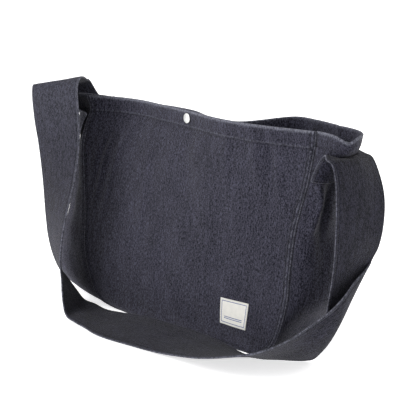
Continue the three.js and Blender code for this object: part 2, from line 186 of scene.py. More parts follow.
# The mouth from the left seam to the right one: front rim, gap to the back rim, droop of the back rim
snap_stack = 0.0101
mouth = table("front gap droop", [
    [0, 0.38, 0.024],
    [0.26, 0.17, 0.022],
    [0.33, 0.085, 0.014],
    [0.24, 0.075, 0.008],
    [0.13, 0.075, 0.002],
    [0, snap_stack / base_depth, 0],
    [-0.16, 0.085, 0.012],
    [-0.23, 0.2, 0.014],
    [-0.21, 0.6, 0],
    [-0.11, 0.57, 0],
    [0, 0.435, 0],
])
belly = 0.07
mouth_turn = 2.2


def read(knots, t):
    """A smooth curve through even knots, at t from 0 to 1."""
    last = len(knots) - 1
    place = np.clip(t, 0.0, 1.0) * last
    k = np.minimum(np.floor(place).astype(int), last - 1)
    f = place - k
    padded = np.concatenate(([2 * knots[0] - knots[1]], knots, [2 * knots[-1] - knots[-2]]))
    p0, p1, p2, p3 = (padded[k + step] for step in range(4))
    cubic = 2 * p1 + (p2 - p0) * f + (2 * p0 - 5 * p1 + 4 * p2 - p3) * f * f
    return (cubic + (3 * p1 - p0 - 3 * p2 + p3) * f ** 3) / 2


def mix(a, b, t):
    return a + (b - a) * t


def panel_surface(face, u, v):
    """The outside of the front or back panel, u across from the left seam and v up from the floor."""
    reach = "reach" if face == "front" else "back_reach"
    left = -read(left_end[reach], v) * half_width
    right = read(right_end[reach], v) * half_width
    height = mix(read(left_end["height"], v), read(right_end["height"], v), u)
    seam = mix(read(left_end[face], v), read(right_end[face], v), u)
    rim_off = read(mouth["front"], u)
    if face == "back":
        front_seam = mix(left_end["front"][-1], right_end["front"][-1], u)
        back_seam = mix(left_end["back"][-1], right_end["back"][-1], u)
        rim_off = front_seam + rim_off + 2 * read(mouth["gap"], u) - back_seam
    mouth_share = np.minimum(1.0, np.maximum(0.0, height) / hem_start) ** mouth_turn
    fullness = (-belly if face == "front" else belly) * np.sin(np.pi * u) * np.sin(np.pi * height)
    depth = seam + rim_off * mouth_share + fullness
    droop = read(mouth["droop"], u) * mouth_share if face == "back" else 0.0
    return np.stack([mix(left, right, u), depth * half_depth, (height - droop) * bag_height], -1)


def unit(ways):
    return ways / np.maximum(np.linalg.norm(ways, axis=-1, keepdims=True), 1e-12)


def grid_ways(points):
    """Ways out of a grid of points, whose rows run up and columns run to the right as seen outside."""
    up = np.gradient(points, axis=0)
    across = np.gradient(points, axis=1)
    return unit(np.cross(across, up))


def dense_steps(length, step, fine_step, fine_zones):
    """Places from 0 to 1 along a length, a step apart, and a fine step apart inside the given zones."""
    places = [0.0]
    while places[-1] < length - 1e-9:
        here = places[-1]
        fine = any(low - step < here < high for low, high in fine_zones)
        places.append(min(length, here + (fine_step if fine else step)))
    return np.array(places) / length


def new_piece(name, points, faces, cloth, materials, wear_and_painted_light=None, face_slots=None):
    """A mesh object that keeps the cloth's own lengths, and its fading, painted shade and painted light, at
    each point.
    """
    mesh = bpy.data.meshes.new(name)
    mesh.from_pydata(points.tolist(), [], faces)
    mesh.attributes.new("cloth", "FLOAT_VECTOR", "POINT").data.foreach_set("vector", cloth.ravel())
    # Wear, with painted shade below zero and painted light added above it
    if wear_and_painted_light is not None:
        mesh.attributes.new("wear_and_painted_light", "FLOAT", "POINT").data.foreach_set("value", wear_and_painted_light)
    if face_slots is not None:
        mesh.polygons.foreach_set("material_index", face_slots)
    mesh.polygons.foreach_set("use_smooth", [True] * len(mesh.polygons))
    mesh.update()
    piece = bpy.data.objects.new(name, mesh)
    bpy.context.collection.objects.link(piece)
    for material in materials:
        mesh.materials.append(material)
    return piece


edge_roundness = 0.42
inner_wear_and_light_share = 0.5
least_edge_wear = 0.55


def cloth_piece(name, outside, inside, cloth, wear_and_painted_light, inner_slots, materials, node):
    """A closed sheet of cloth from its outside and inside grids, with softly rounded edges."""
    outer, inner = outside.reshape(-1, 3), inside.reshape(-1, 3)
    count = len(outer)
    numbers = np.arange(count).reshape(outside.shape[:2])
    quads = np.stack([numbers[:-1, :-1], numbers[:-1, 1:], numbers[1:, 1:], numbers[1:, :-1]], -1)
    quads = quads.reshape(-1, 4)
    ring = np.concatenate([numbers[0, :-1], numbers[:-1, -1], numbers[-1, :0:-1], numbers[:0:-1, 0]])
    inner_ring = ring + count
    middle = (outer[ring] + inner[ring]) / 2
    through = outer[ring] - inner[ring]
    wall = np.linalg.norm(through, axis=1)
    along = np.roll(middle, -1, axis=0) - np.roll(middle, 1, axis=0)
    round_ring = middle + unit(np.cross(along, through)) * wall[:, None] * edge_roundness
    ring_numbers = np.arange(len(ring)) + 2 * count
    after = np.roll(np.arange(len(ring)), -1)
    faces = np.concatenate([
        quads, quads[:, ::-1] + count,
        np.stack([ring[after], ring, ring_numbers, ring_numbers[after]], -1),
        np.stack([ring_numbers[after], ring_numbers, inner_ring, inner_ring[after]], -1)])
    points = np.concatenate([outer, inner, round_ring])
    points[:, 2] = np.maximum(points[:, 2], 0.0)
    flat_cloth, flat_wear_and_painted_light = cloth.reshape(-1, 3), wear_and_painted_light.ravel()
    all_cloth = np.concatenate([flat_cloth, flat_cloth, flat_cloth[ring]])
    edge_wear = np.maximum(flat_wear_and_painted_light[ring], least_edge_wear)
    all_wear_and_painted_light = np.concatenate([flat_wear_and_painted_light, flat_wear_and_painted_light * inner_wear_and_light_share, edge_wear])
    slots = np.zeros(len(faces), int)
    slots[len(quads):2 * len(quads)] = np.ravel(inner_slots)
    piece = new_piece(name, points, faces.tolist(), all_cloth, materials, all_wear_and_painted_light, slots)
    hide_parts(node)
    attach(piece, "root")
    return piece


def bell(distance, spread):
    return np.exp(-(distance / spread) ** 2)


def soft_step(low, high, x):
    t = np.clip((x - low) / (high - low), 0.0, 1.0)
    return t * t * (3 - 2 * t)


def folds_height(folds, x, z):
    """The sum of soft folds. Each runs from one place to another and has a height and a half width."""
    total = np.zeros_like(x)
    for x0, z0, x1, z1, height, spread in np.array(folds) / 1000:
        length = np.hypot(x1 - x0, z1 - z0)
        way = np.array([x1 - x0, z1 - z0]) / length
        along = (x - x0) * way[0] + (z - z0) * way[1]
        off = -(x - x0) * way[1] + (z - z0) * way[0]
        past = np.maximum(np.maximum(-along, along - length), 0.0)
        middle = np.clip(along / length, 0.0, 1.0)
        fade = 0.35 + 0.65 * np.sin(np.pi * (0.12 + 0.76 * middle))
        total += height * fade * bell(off, spread) * bell(past, 2.5 * spread)
    return total


def cloth_waves(x, z, seed, size, height):
    """Low uneven waves of handled cloth, from a few seeded sines."""
    random = np.random.default_rng(seed)
    total = np.zeros_like(x)
    for _ in range(14):
        angle = random.uniform(0, np.pi)
        wave = size * random.uniform(0.6, 1.9)
        phase = random.uniform(0, full_turn)
        total += np.sin(full_turn * (x * np.cos(angle) + z * np.sin(angle)) / wave + phase) * wave / size
    return height * total / 7


seam_band = 0.0085
seam_raise = 0.0009
stitch_in = 0.0016
stitch_groove = 0.0007
groove_spread = 0.0007
pucker_pitch = 0.0072
pucker_height = 0.0004
pucker_spread = 0.006
hem_pucker_spread = 0.007
hem_raise = 0.0005
hem_slope = 0.0018


def seam_relief(distance, along):
    """Height of a lapped, twice stitched seam at a distance in from the cloth's edge."""
    slope_from, slope_to = seam_band - 0.0004, seam_band + 0.0012
    band = seam_raise * (1 - soft_step(slope_from, slope_to, distance))
    outer_groove = bell(distance - stitch_in, groove_spread)
    inner_groove = bell(distance - seam_band + stitch_in, groove_spread)
    wave = np.sin(full_turn * along / pucker_pitch)
    pucker = pucker_height * wave * bell(distance - seam_band / 2, pucker_spread)
    return band - stitch_groove * (outer_groove + inner_groove) + pucker


def hem_relief(down, along):
    """Height of the hem's foot, a groove under its one row of stitches and small puckers beside it."""
    groove = stitch_groove * bell(down - hem_width, groove_spread)
    wave = np.sin(full_turn * along / (1.2 * pucker_pitch))
    pucker = pucker_height * wave * bell(down - hem_width, hem_pucker_spread)
    step = hem_raise * (1 - soft_step(hem_width, hem_width + hem_slope, down))
    return step - groove + pucker


def lengths_along(points, axis=0):
    """How far each point lies from the first one, one way along a line or a grid."""
    steps = np.linalg.norm(np.diff(points, axis=axis), axis=-1)
    start = np.zeros_like(np.take(steps, [0], axis))
    return np.concatenate([start, np.cumsum(steps, axis=axis)], axis=axis)


def points_at(places, lengths, points):
    """The points of a line at places along it."""
    return np.stack([np.interp(places, lengths, points[:, k]) for k in range(3)], -1)


def line_on(points, ways, lengths, at):
    """A line across a grid of cloth, where the lengths along each of its rows reach a value."""
    places = np.broadcast_to(at, len(lengths))
    line, out = (np.array([points_at(place, row, grid_row)
                           for place, row, grid_row in zip(places, lengths, grid)])
                 for grid in (points, ways))
    return line, unit(out)


def swapped(*grids):
    """The same grids with rows and columns changed over."""
    return [np.swapaxes(grid, 0, 1) for grid in grids]


stitch_pitch = 0.0035
stitch_length = 0.0028
thread_radius = 0.0003
thread_clearance = 0.0001


def sewn_thread(name, lines, thread):
    """Many short bits of thread along lines on the cloth, each bent down at its two ends."""
    offs = np.array([-0.5, -0.22, 0.22, 0.5]) * stitch_length
    lifts = np.array([-0.3, 0.2, 0.2, -0.3]) / 1000
    radii = np.array([0.6, 1.0, 1.0, 0.6]) * thread_radius
    sides = 6
    around = np.arange(sides)
    angles = around * full_turn / sides
    after = np.roll(around, -1)
    points, cloth, faces = [], [], []
    for line, ways in lines:
        lengths = lengths_along(line)
        middles = np.arange(stitch_pitch / 2, lengths[-1] - stitch_length / 2, stitch_pitch)
        places = middles[:, None] + offs
        out = unit(points_at(places, lengths, ways))
        centres = points_at(places, lengths, line) + out * lifts[:, None]
        along = unit(np.gradient(centres, axis=1))
        side = unit(np.cross(along, out))
        up = np.cross(side, along)
        rings = centres[:, :, None] + radii[:, None, None] * (
            np.cos(angles)[:, None] * side[:, :, None] + np.sin(angles)[:, None] * up[:, :, None])
        first = sum(len(group) for group in points)
        points.append(rings.reshape(-1, 3))
        turns = np.stack(np.broadcast_arrays(places[:, :, None], angles / full_turn, 0.1), -1)
        cloth.append(turns.reshape(-1, 3))
        for base in first + len(offs) * sides * np.arange(len(middles)):
            for near in base + sides * np.arange(len(offs) - 1):
                far = near + sides
                faces += np.stack([near + around, near + after, far + after, far + around], -1).tolist()
            end = base + (len(offs) - 1) * sides
            faces += [(base + around[::-1]).tolist(), (end + around).tolist()]
    points = np.concatenate(points)
    points[:, 2] = np.maximum(points[:, 2], thread_clearance)
    piece = new_piece(name, points, faces, np.concatenate(cloth), [thread])
    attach(piece, "root")


def panel_threads(outside, ways, x, z):
    """A panel's stitches: two rows by each side and by the foot, and one row at the foot of the hem."""
    width = x[:, -1]
    upright = swapped(outside, ways, z)
    lines = []
    for inward in (stitch_in, seam_band - stitch_in):
        lines.append(line_on(outside, ways, x, inward))
        lines.append(line_on(outside, ways, x, width - inward))
        lines.append(line_on(*upright, inward))
    points, out = line_on(*upright, z[-1, :] - hem_width)
    row_in_hem = x[-8, :]
    between_seams = (row_in_hem > seam_band) & (row_in_hem < row_in_hem[-1] - seam_band)
    lines.append((points[between_seams], out[between_seams]))
    return lines


cloth_step = 0.0032
seam_step = 0.0009
hem_step = 0.0010
seam_zone = 0.011
hem_zone = 0.004
hem_wear_pitch = 0.0087
rim_wear_spread = 0.0022
ridge_wear_spread = 0.0022
seam_edge_wear_spread = 0.0012
hem_ridge_wear_spread = 0.0016
groove_shade_spread = 0.0008


def panel_piece(face, folds, seed):
    """A panel with its folds, lapped seams, hem, faded places, stitches and painted shade in its stitch
    grooves. It gives back the outside.
    """
    across = dense_steps(panel_width, cloth_step, seam_step, [
        (0.0, seam_zone), (panel_width - seam_zone, panel_width)])
    hem_foot = bag_height - hem_width
    upward = dense_steps(bag_height, cloth_step, hem_step, [
        (0.0, seam_zone), (hem_foot - hem_zone, hem_foot + hem_zone), (bag_height - hem_zone, bag_height)])
    if face == "back":
        across = 1 - across
    u, share = np.meshgrid(across, upward)
    v = np.interp(share, [0.0, hem_start, 1.0], [0.0, hem_row, 1.0])
    base = panel_surface(face, u, v)
    z = lengths_along(base)
    z = z * (bag_height / z[-1:, :].mean())
    x = lengths_along(base, axis=1)
    side = np.minimum(x, x[:, -1:] - x)
    down = z[-1:, :] - z
    # Folds die out at the seams, and are held down to a third at the stiff rim
    free = soft_step(0.004, 0.05, side) * soft_step(0.002, 0.05, z) * (0.35 + 0.65 * soft_step(0, 0.03, down))
    waves = cloth_waves(x, z, seed, size=0.06, height=0.0011)
    soft = free * waves + free * folds_height(folds, x, z)
    relief = soft + seam_relief(side, z) * soft_step(hem_width - 0.004, hem_width + 0.002, down)
    relief = relief + seam_relief(z, x) * soft_step(0.006, 0.012, side) + hem_relief(down, x)
    wall = np.where(down < hem_width, hem_wall, denim_wall)
    ways = grid_ways(base)
    outside = base + ways * relief[..., None]
    inside = base + ways * (soft - wall)[..., None]
    puckers = 0.5 + 0.5 * np.sin(full_turn * z / pucker_pitch)
    hem_puckers = 0.5 + 0.5 * np.sin(full_turn * x / hem_wear_pitch)
    # Worn pale, in turn: the rim, the ridges between the seam rows, the sides' edges, the hem's foot.
    # Painted shade then darkens the stitch grooves and the line just under the hem's foot
    wear_and_painted_light = np.maximum.reduce([
        0.9 * bell(down, rim_wear_spread),
        0.4 * bell(side - seam_band / 2, ridge_wear_spread) * puckers,
        0.35 * bell(z - seam_band / 2, ridge_wear_spread) * puckers,
        0.45 * bell(side, seam_edge_wear_spread),
        0.4 * bell(down - hem_width, hem_ridge_wear_spread) * hem_puckers])
    # Painted shade in the stitch grooves of the seams, as wear below zero
    for line in (side - stitch_in, side - seam_band + stitch_in, z - stitch_in, z - seam_band + stitch_in):
        wear_and_painted_light = wear_and_painted_light - 1.1 * bell(line, groove_shade_spread)
    # Painted shade just under the hem's foot
    wear_and_painted_light = wear_and_painted_light - 0.6 * bell(down - hem_width - stitch_in, 0.0009)
    straight_x = half_width + base[..., 0] * (1 if face == "front" else -1)
    cloth = np.stack([straight_x, z, np.zeros_like(x)], -1)
    inner_slots = (down[:-1, :-1] > hem_width).astype(int)
    piece = cloth_piece(face + "_cloth", outside, inside, cloth, wear_and_painted_light, inner_slots,
                        [denim_face, denim_back], face + "_panel")
    sewn_thread(face + "_stitches", panel_threads(outside, ways, x, z), seam_thread)
    return outside


def new_material(name):
    """A material, its shader, and the cloth's own lengths as a socket."""
    material = bpy.data.materials.new(name)
    material.use_nodes = True
    tree = material.node_tree
    place = add_node(tree, "ShaderNodeAttribute", {"attribute_name": "cloth"}).outputs["Vector"]
    return material, tree.nodes["Principled BSDF"], place


def across_and_up(place):
    split = add_node(place.id_data, "ShaderNodeSeparateXYZ", Vector=place)
    return split.outputs["X"], split.outputs["Y"]


def noise(place, scale, detail, roughness=0.5):
    """Cloudy noise, with its own scale across the cloth and up it."""
    tree = place.id_data
    spread = add_node(tree, "ShaderNodeMapping", Vector=place, Scale=scale).outputs["Vector"]
    texture = add_node(tree, "ShaderNodeTexNoise", Vector=spread, Scale=1.0, Detail=detail,
                       Roughness=roughness)
    return texture.outputs["Fac"]


def ranged(value, low, high, to_low=0.0, to_high=1.0, kind="SMOOTHSTEP"):
    """A socket's values from low to high, spread over another range."""
    limits = {"From Min": low, "From Max": high, "To Min": to_low, "To Max": to_high}
    tree = value.id_data
    node = add_node(tree, "ShaderNodeMapRange", {"interpolation_type": kind}, Value=value, **limits)
    return node.outputs["Result"]


def plain_share(value, to_low, to_high):
    return ranged(value, 0.0, 1.0, to_low, to_high, kind="LINEAR")


def weighted(*pairs):
    """The sum of sockets, each times its own share."""
    total, *parts = (maths("MULTIPLY", value, share) for value, share in pairs)
    for part in parts:
        total = maths("ADD", total, part)
    return total


def ripple(value, pitch):
    return maths("SINE", maths("MULTIPLY", value, full_turn / pitch))


def blend(factor, start, end):
    """A mix of two colours, each a socket or red, green and blue."""
    ends = {key: (*colour, 1.0) if isinstance(colour, tuple) else colour
            for key, colour in (("A", start), ("B", end))}
    node = add_node(factor.id_data, "ShaderNodeMix", {"data_type": "RGBA"}, Factor=factor, **ends)
    return node.outputs["Result"]


def bumps(height, strength, depth):
    node = add_node(height.id_data, "ShaderNodeBump", Strength=strength, Distance=depth, Height=height)
    return node.outputs["Normal"]


yarn_pitch = 0.00046
twill_across = 0.00138
twill_up = 0.0021
faded_blue = (0.2, 0.205, 0.25)
# Dark indigo used only for painted shade
painted_shade_blue = (0.004, 0.004, 0.007)


def denim_material(name, warp, weft, weft_share):
    """Yarn dyed twill: slubby warp streaks, weft specks on a steep diagonal, fading on rubbed edges and where
    painted light is added, and painted shade in dark indigo where that value is below zero.
    """
    material, shader, place = new_material(name)
    across, upward = across_and_up(place)
    wear_and_light_socket = add_node(material.node_tree, "ShaderNodeAttribute", {"attribute_name": "wear_and_painted_light"}).outputs["Fac"]
    slubs = ranged(noise(place, (430.0, 40.0, 1.0), detail=2.0, roughness=0.55), low=0.34, high=0.68)
    streaks = ranged(noise(place, (130.0, 12.0, 1.0), detail=3.0, roughness=0.55), low=0.3, high=0.72)
    clouds = ranged(noise(place, (17.0, 9.0, 1.0), detail=2.0, roughness=0.55), low=0.3, high=0.7)
    warp_grain = noise(place, (900.0, 250.0, 1.0), detail=2.0, roughness=0.75)
    weft_grain = noise(place, (330.0, 1000.0, 3.0), detail=2.0, roughness=0.75)
    grain = ranged(weighted((warp_grain, 0.6), (weft_grain, 0.4)), low=0.45, high=0.56)
    twill = maths("SINE", weighted((across, full_turn / twill_across), (upward, full_turn / twill_up)))
    specks = ranged(twill, low=0.2, high=1.0)
    tone = weighted((slubs, 0.26), (streaks, 0.1), (grain, 0.62), (clouds, 0.1), (specks, weft_share))
    tone = maths("MULTIPLY", maths("SUBTRACT", tone, 0.26), 1.25)
    patchy = maths("MULTIPLY_ADD", grain, 0.6, 0.35)
    fade = maths("MULTIPLY", maths("MAXIMUM", wear_and_light_socket, 0.0), patchy)
    # Painted shade: values below zero turn the cloth dark indigo, in stitch grooves and deep folds
    painted_shade_share = maths("MINIMUM", maths("MAXIMUM", maths("MULTIPLY", wear_and_light_socket, -0.85), 0.0), 0.85)
    faded = blend(fade, blend(tone, warp, weft), faded_blue)
    height = weighted((slubs, 0.5), (grain, 0.9), (ripple(across, yarn_pitch), 0.25), (twill, 0.35))
    set_sockets(shader, {
        "Base Color": blend(painted_shade_share, faded, painted_shade_blue),
        "Normal": bumps(height, strength=0.55, depth=0.0003),
        "Roughness": ranged(tone, low=0.0, high=1.0, to_low=0.95, to_high=0.78),
        "Specular IOR Level": 0.18, "Sheen Weight": 0.12, "Sheen Roughness": 0.45})
    return material


thread_twist = 0.0009


def thread_material(name, dark, light):
    """Twisted cotton thread, a little fuzzy, each stitch taking the light along its twist."""
    material, shader, place = new_material(name)
    along, around = across_and_up(place)
    turn = weighted((along, full_turn / thread_twist), (around, 2 * full_turn))
    fuzz = noise(place, (900.0, 900.0, 900.0), detail=2.0)
    tone = maths("MULTIPLY_ADD", maths("SINE", turn), 0.2, fuzz)
    set_sockets(shader, {
        "Base Color": blend(tone, dark, light),
        "Normal": bumps(tone, strength=0.6, depth=0.00012),
        "Roughness": plain_share(fuzz, 0.6, 0.85)})
    return material


seam_thread = thread_material("seam_thread", (0.006, 0.006, 0.01), (0.045, 0.047, 0.062))
denim_face = denim_material("denim_face", (0.0042, 0.004, 0.0082), (0.062, 0.0605, 0.091), 0.2)
denim_back = denim_material("denim_reverse", (0.16, 0.18, 0.21), (0.52, 0.57, 0.60), 0.5)

# Folds of the front panel in millimetres from its lower left corner: from, to, height, half width
front_folds = [
    [34, 292, 9, 215, 2.6, 5],
    [52, 288, 16, 190, 2.2, 4],
    [43, 288, 12, 200, -2.0, 4],
    [75, 282, 38, 190, 1.6, 6],
    [40, 298, 120, 292, -0.8, 6],
    [140, 250, 120, 150, 1.0, 9],
    [215, 290, 235, 215, -1.6, 14],
    [300, 292, 312, 225, 1.4, 9],
    [345, 296, 366, 236, 2.2, 9],
    [372, 285, 392, 240, -3.0, 9],
    [398, 250, 408, 200, 2.0, 7],
    [352, 24, 388, 42, -3.0, 12],
    [300, 18, 350, 44, 1.8, 14],
]
front_outside = panel_piece("front", front_folds, seed=3)

# Back panel
# The same cut of cloth as the front, hemmed and lapped the same way. Its rim lies close behind the
# front rim at the left, and bows out to leave the mouth open at the right.
back_folds = [
    [60, 290, 110, 180, 1.5, 12],
    [160, 300, 175, 190, -1.4, 14],
    [330, 295, 290, 170, 1.2, 16],
    [400, 240, 380, 120, -1.2, 14],
    [60, 40, 150, 20, -2.0, 14],
]
panel_piece("back", back_folds, seed=11)

# End walls and base
# One band of the same denim, seamed above the two bottom corners, runs from rim to rim under the
# bag. Both of its long edges are sewn inside the panels, and its ends are turned in as hems.
end_roundness = 0.6
front_fullness = 2.2
pleat_place = 0.14
pleat_spread = 0.08
lip_place = 0.3
lip_spread = 0.14
lip_drop = 0.008
seam_gap = 0.0001
crease_share = {-1: 0.15, 1: 0.4}


def seam_line(u, v, t):
    """The point a share t of the way from under the front panel to under the back one."""
    wall = np.where(v > hem_row, hem_wall, denim_wall)[..., None] + seam_gap
    step = 0.004
    ends = []
    for face, outward in (("front", 1), ("back", -1)):
        low_u, high_u = np.maximum(u - step, 0), np.minimum(u + step, 1)
        low_v, high_v = np.maximum(v - step, 0), np.minimum(v + step, 1)
        across = panel_surface(face, high_u, v) - panel_surface(face, low_u, v)
        upward = panel_surface(face, u, high_v) - panel_surface(face, u, low_v)
        way = unit(np.cross(across, upward)) * outward
        level = way * [1, 1, 0]
        level = level / np.sum(level ** 2, axis=-1, keepdims=True)
        way = np.where(v[..., None] > 0, way, level)
        ends.append(panel_surface(face, u, v) - way * wall)
    return ends[0] + (ends[1] - ends[0]) * t[..., None]


def end_surface(sign, t, v):
    """The outside of an end wall, t from the front seam to the back one and v up from the floor."""
    rows = right_end if sign > 0 else left_end
    point = seam_line(np.full_like(v, 1.0 if sign > 0 else 0.0), v, t)
    free = np.minimum(1, np.minimum(6 * t, 6 * (1 - t)))
    arch = np.maximum(0, np.sin(np.pi * t)) ** end_roundness
    front_arch = front_fullness * np.sin(np.pi * t) * np.maximum(0, 1 - t) ** 1.5
    pleat = free * bell(t - pleat_place, pleat_spread)
    lip = free * bell(t - lip_place, lip_spread)
    near_rim = soft_step(hem_start - 0.05, 1, read(rows["height"], v))
    point[..., 0] += sign * half_depth * (read(rows["bulge"], v) * arch - read(rows["tuck"], v) * pleat)
    point[..., 1] -= half_depth * read(rows["forward"], v) * front_arch
    if sign > 0:
        point[..., 2] -= lip_drop * lip * near_rim
    return point


def band_grid(rows):
    """Points of the band at rows of (end, u, v), from its front seam to its back one."""
    even = np.linspace(0, 1, 61)
    closer_at_seams = 0.5 * (1 - np.cos(np.pi * even))
    t = 0.45 * even + 0.55 * closer_at_seams
    sign, u, v = (np.array(column)[:, None] * np.ones_like(t) for column in zip(*rows))
    t = np.ones(len(rows))[:, None] * t
    points = seam_line(u, v, t)
    for side in (-1, 1):
        here = sign[:, 0] == side
        points[here] = end_surface(side, t[here], v[here])
    return points


def wall_rows(sign, low, high, count):
    u = 1.0 if sign > 0 else 0.0
    return [(sign, u, v) for v in np.linspace(low, high, count)]


def whole_wall(sign, count):
    """Rows of an end wall from its crease at the base up to the rim, closer together in the hem."""
    below, above = hem_row - 0.001, hem_row + 0.001
    return wall_rows(sign, crease_share[sign], below, count) + wall_rows(sign, above, 1.0, 14)


def band_piece(name, rows, folds, painted_shade_folds, seed, hem_at, node):
    """A piece of the band. Its hem is at the last row, at the first, or it has none."""
    points = band_grid(rows)
    z = lengths_along(points)
    x = lengths_along(points, axis=1)
    side = np.minimum(x, x[:, -1:] - x)
    ends = np.minimum(z, z[-1:, :] - z)
    free = soft_step(0.002, 0.03, side) * soft_step(0.0, 0.03, ends)
    middle_z = np.broadcast_to(z[:, z.shape[1] // 2][:, None], z.shape)
    waves = cloth_waves(x, z, seed, size=0.05, height=0.0012)
    shape = free * (waves + folds_height(folds, x, middle_z))
    far_off = np.full_like(z, 1.0)
    down = {"last": z[-1:, :] - z, "first": z, "none": far_off}[hem_at]
    relief = shape + np.where(down < 0.05, hem_relief(down, x), 0.0)
    ways = grid_ways(points)
    wall = np.where(down < hem_width, hem_wall, denim_wall)
    outside = points + ways * relief[..., None]
    inside = points + ways * (shape - wall)[..., None]
    wear_and_painted_light = np.maximum(0.9 * bell(down, rim_wear_spread), 0.3 * bell(side - 0.0012, 0.0015))
    # Painted shade along the listed folds, as wear below zero
    wear_and_painted_light = wear_and_painted_light + folds_height(painted_shade_folds, x, middle_z)
    cloth = np.stack([x, z, np.zeros_like(x)], -1)
    inner_slots = (down[:-1, :-1] > hem_width).astype(int)
    piece = cloth_piece(name, outside, inside, cloth, wear_and_painted_light, inner_slots, [denim_face, denim_back],
                        node)
    return outside, ways, z


# Folds of the end walls, listed like the front's. The right wall's are measured up from its crease
# and the left wall's down from its rim. Painted shade in deep folds takes the wear below zero, in
# thousandths.
right_folds = [
    [15, 166, 24, 140, 7.5, 6],
    [24, 140, 23, 106, 7.0, 6],
    [23, 106, 13, 90, 5.0, 6],
    [37, 176, 41, 90, -7.0, 9],
    [44, 20, 58, 90, -2.2, 10],
    [80, 40, 95, 120, 1.2, 10],
]
# Painted shade along the right wall's deep inward fold
right_painted_shade = [[38, 176, 43, 95, -600, 8]]
right_grids = band_piece("right_end_wall", whole_wall(1, 84), right_folds, right_painted_shade, seed=21,
                         hem_at="last", node="gusset_right")

left_folds = [
    [14, 4, 20, 120, -1.5, 10],
    [45, 30, 60, 120, -1.6, 9],
    [70, 60, 90, 170, 1.5, 9],
]
# Painted shade in the left wall's fold by the front seam, behind the strap
left_painted_shade = [[10, 0, 16, 125, -1000, 14], [16, 125, 20, 190, -700, 12]]
left_grids = band_piece("left_end_wall", whole_wall(-1, 96)[::-1], left_folds, left_painted_shade, seed=23,
                        hem_at="first", node="gusset_left")

right_hem_line = right_grids[2][-1] - hem_width
wall_threads = [line_on(*swapped(*right_grids), right_hem_line), line_on(*swapped(*left_grids), hem_width)]
sewn_thread("wall_hem_stitches", wall_threads, seam_thread)

base_rows = wall_rows(-1, 0.0, crease_share[-1], 24)[::-1]
base_rows += [(0, u, 0.0) for u in np.linspace(0, 1, 90)[1:-1]]
base_rows += wall_rows(1, 0.0, crease_share[1], 52)
band_piece("base_cloth", base_rows, [], [], seed=29, hem_at="none", node="base_panel")

# Strap
# One broad band of the same denim, folded double and stitched near both edges, with worn pale folds.
# Its ends are sewn flat on the outside of the end walls, and it falls forward on to the floor.
strap_width = 0.090
strap_wall = 0.003
strap_sewn_length = 0.038
strap_sewn_drop = 0.028
sewn_play = 0.0018
strap_columns = "along out lift across_x across_y across_z bow"
strap_run = table(strap_columns, [
    [1.175, -0.66, 0.903, 0, 0.98, -0.05, 0.1],
    [1.21, -0.68, 0.897, 0.03, 0.98, -0.05, 0.07],
    [1.245, -0.7, 0.85, 0.07, 0.98, -0.05, 0.04],
    [1.262, -0.7, 0.73, 0.165, 0.98, -0.02, 0.01],
    [1.262, -0.7, 0.58, 0.172, 0.97, 0.04, 0],
    [1.245, -0.69, 0.42, 0.14, 0.95, 0.26, 0],
    [1.22, -0.69, 0.31, 0.18, 0.88, 0.53, 0.01],
    [1.19, -0.67, 0.2, 0.26, 0.76, 0.82, 0.03],
    [1.155, -0.62, 0.105, 0.38, 0.54, 1.08, 0.05],
    [1.115, -0.56, 0.04, 0.49, 0.24, 1.21, 0.08],
    [1.073, -0.55, 0.008, 0.58, -0.03, 1.13, 0.12],
    [1.03, -0.64, 0, 0.62, -0.2, 0.98, 0.14],
    [0.978, -0.78, 0, 0.61, -0.36, 0.8, 0.12],
    [0.9, -0.93, 0, 0.59, -0.53, 0.58, 0.07],
    [0.81, -1.12, 0, 0.53, -0.74, 0.42, 0.02],
    [0.7, -1.22, 0.004, 0.37, -0.92, 0.3, 0],
    [0.58, -1.18, 0.012, 0.2, -1.01, 0.16, 0],
    [0.44, -1.1, 0.02, 0.07, -1.01, 0.03, 0],
    [0.27, -1.05, 0.025, 0, -1.01, -0.06, 0],
    [0, -1.02, 0.025, 0.04, -1.04, -0.08, 0],
    [-0.27, -0.98, 0.018, 0.12, -1.08, -0.06, 0],
    [-0.48, -1.02, 0.006, 0.36, -1.02, -0.01, 0],
    [-0.61, -1.07, 0.004, 0.42, -0.9, 0, 0],
    [-0.74, -1.01, 0.01, 0.45, -0.9, 0, 0],
    [-0.88, -0.94, 0.011, 0.5, -0.88, 0.035, 0],
    [-0.975, -0.9, 0.045, 0.56, -0.82, 0.16, 0],
    [-1.04, -0.97, 0.1, 0.66, -0.72, 0.23, 0],
    [-1.075, -1.07, 0.145, 0.7, -0.62, 0.32, 0],
    [-1.125, -1.12, 0.215, 0.79, -0.55, 0.25, 0],
    [-1.15, -1.18, 0.31, 0.87, -0.47, 0.19, 0],
    [-1.153, -1.23, 0.415, 0.91, -0.36, 0.2, 0],
    [-1.158, -1.28, 0.61, 0.98, -0.17, 0.08, 0],
    [-1.185, -1.3, 0.775, 1, 0.02, 0.05, 0],
    [-1.22, -1.3, 0.89, 0.98, 0.13, 0.15, 0],
    [-1.238, -1.3, 1.015, 0.96, 0.17, 0.18, 0],
    [-1.245, -1.26, 1.052, 0.92, 0.25, 0.19, 0],
    [-1.265, -1.17, 1.05, 0.8, 0.43, 0.18, 0],
    [-1.288, -1.05, 1.022, 0.57, 0.68, 0.17, -0.03],
    [-1.275, -0.88, 1.01, 0.24, 0.9, 0.11, -0.07],
    [-1.23, -0.74, 0.965, 0.12, 0.98, 0.02, -0.08],
])
strap_edge = 0.0062
across_strap = dense_steps(strap_width, step=0.0030, fine_step=0.0008, fine_zones=[
    (0.0, strap_edge), (strap_width - strap_edge, strap_width)])


